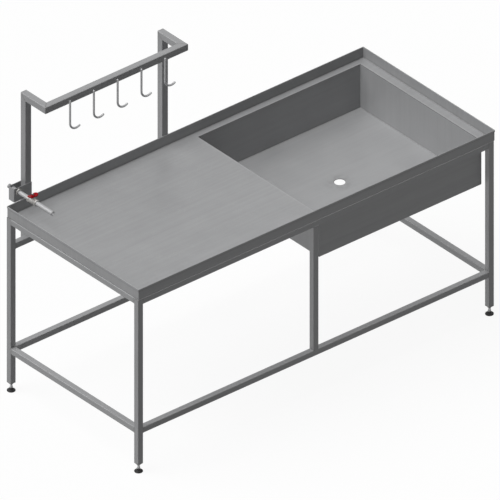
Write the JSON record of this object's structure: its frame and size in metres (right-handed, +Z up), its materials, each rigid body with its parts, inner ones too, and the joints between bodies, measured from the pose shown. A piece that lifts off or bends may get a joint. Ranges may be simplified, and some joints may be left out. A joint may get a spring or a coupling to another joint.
{
  "type": "fish cleaning table",
  "caption": "Stainless fish cleaning table: rimmed tray top with a deep drained basin, tube frame on levelling feet, rear hook rail and a cold water tap with ball valve.",
  "frame": {"origin": "on the floor, under the middle of the outside dimensions", "axes": "+X along the table from the dry end to the basin end, +Y from the front to the back where the hook frame stands, +Z up"},
  "size_m": [2.105, 0.9922, 1.525],
  "materials": {
    "stainless": "brushed stainless steel sheet, tube and rod",
    "plated_brass": "nickel plated",
    "red_paint": "red coated steel",
    "black_plastic": "moulded black plastic",
    "white_seat": "white fluoropolymer"
  },
  "bodies": {
    "table": {"worktop": "stainless", "basin": "stainless", "leg_front_left": "stainless", "leg_front_right": "stainless", "leg_back_left": "stainless", "leg_back_right": "stainless", "mid_post_front": "stainless", "mid_post_back": "stainless", "top_rail_front": "stainless", "top_rail_back": "stainless", "top_rail_left": "stainless", "top_rail_right": "stainless", "cross_rail_middle": "stainless", "cross_rail_dry_end": "stainless", "stretcher_front": "stainless", "stretcher_back": "stainless", "stretcher_left": "stainless", "stretcher_right": "stainless", "hook_frame_rail": "stainless", "hook_post_left": "stainless", "hook_post_right": "stainless", "hook_arm_left": "stainless", "hook_arm_right": "stainless", "hook_crossbar": "stainless", "post_plug_left": "black_plastic", "post_plug_right": "black_plastic", "hook_1": "stainless", "hook_2": "stainless", "hook_3": "stainless", "hook_4": "stainless", "hook_5": "stainless", "tap_bracket": "stainless", "inlet_pipe": "stainless", "spout_pipe": "stainless", "pipe_lock_nut_front": "plated_brass", "pipe_lock_nut_back": "plated_brass", "valve_body": "plated_brass", "valve_seat_front": "white_seat", "valve_seat_back": "white_seat", "gland_nut": "plated_brass", "foot_lock_nut_front_left": "stainless", "foot_lock_nut_front_right": "stainless", "foot_lock_nut_back_left": "stainless", "foot_lock_nut_back_right": "stainless", "leg_plug_front_left": "stainless", "leg_plug_front_right": "stainless", "leg_plug_back_left": "stainless", "leg_plug_back_right": "stainless"},
    "valve_rotor": {"valve_ball": "stainless", "valve_stem": "stainless", "valve_handle": "red_paint", "handle_nut": "stainless"},
    "pad_front_left": {"foot_pad_front_left": "black_plastic"},
    "pad_front_right": {"foot_pad_front_right": "black_plastic"},
    "pad_back_left": {"foot_pad_back_left": "black_plastic"},
    "pad_back_right": {"foot_pad_back_right": "black_plastic"},
    "shank_front_left": {"foot_shank_front_left": "stainless"},
    "shank_front_right": {"foot_shank_front_right": "stainless"},
    "shank_back_left": {"foot_shank_back_left": "stainless"},
    "shank_back_right": {"foot_shank_back_right": "stainless"}
  },
  "joints": [
    {"name": "valve_turn", "type": "hinge", "parent": "table", "child": "valve_rotor", "pos_m": [-0.9785, 0.32845, 1.03], "axis": [0, 0, 1], "range_deg": [0, 90]},
    {"name": "foot_height_front_left", "type": "slide", "parent": "table", "child": "pad_front_left", "axis": [0, 0, -1], "range_m": [-0.0115, 0.015]},
    {"name": "foot_height_front_right", "type": "slide", "parent": "table", "child": "pad_front_right", "axis": [0, 0, -1], "range_m": [-0.0115, 0.015]},
    {"name": "foot_height_back_left", "type": "slide", "parent": "table", "child": "pad_back_left", "axis": [0, 0, -1], "range_m": [-0.0115, 0.015]},
    {"name": "foot_height_back_right", "type": "slide", "parent": "table", "child": "pad_back_right", "axis": [0, 0, -1], "range_m": [-0.0115, 0.015]},
    {"name": "foot_turn_front_left", "type": "hinge", "parent": "pad_front_left", "child": "shank_front_left", "pos_m": [-1.0325, -0.47605, 0], "axis": [0, 0, -1], "range_deg": [-2370, 3090]},
    {"name": "foot_turn_front_right", "type": "hinge", "parent": "pad_front_right", "child": "shank_front_right", "pos_m": [1.0325, -0.47605, 0], "axis": [0, 0, -1], "range_deg": [-2370, 3090]},
    {"name": "foot_turn_back_left", "type": "hinge", "parent": "pad_back_left", "child": "shank_back_left", "pos_m": [-1.0325, 0.41595, 0], "axis": [0, 0, -1], "range_deg": [-2370, 3090]},
    {"name": "foot_turn_back_right", "type": "hinge", "parent": "pad_back_right", "child": "shank_back_right", "pos_m": [1.0325, 0.41595, 0], "axis": [0, 0, -1], "range_deg": [-2370, 3090]}
  ],
  "couplings": [
    {"joint": "foot_turn_front_left", "follows": "foot_height_front_left", "rad_per_m": 3590.4},
    {"joint": "foot_turn_front_right", "follows": "foot_height_front_right", "rad_per_m": 3590.4},
    {"joint": "foot_turn_back_left", "follows": "foot_height_back_left", "rad_per_m": 3590.4},
    {"joint": "foot_turn_back_right", "follows": "foot_height_back_right", "rad_per_m": 3590.4}
  ]
}
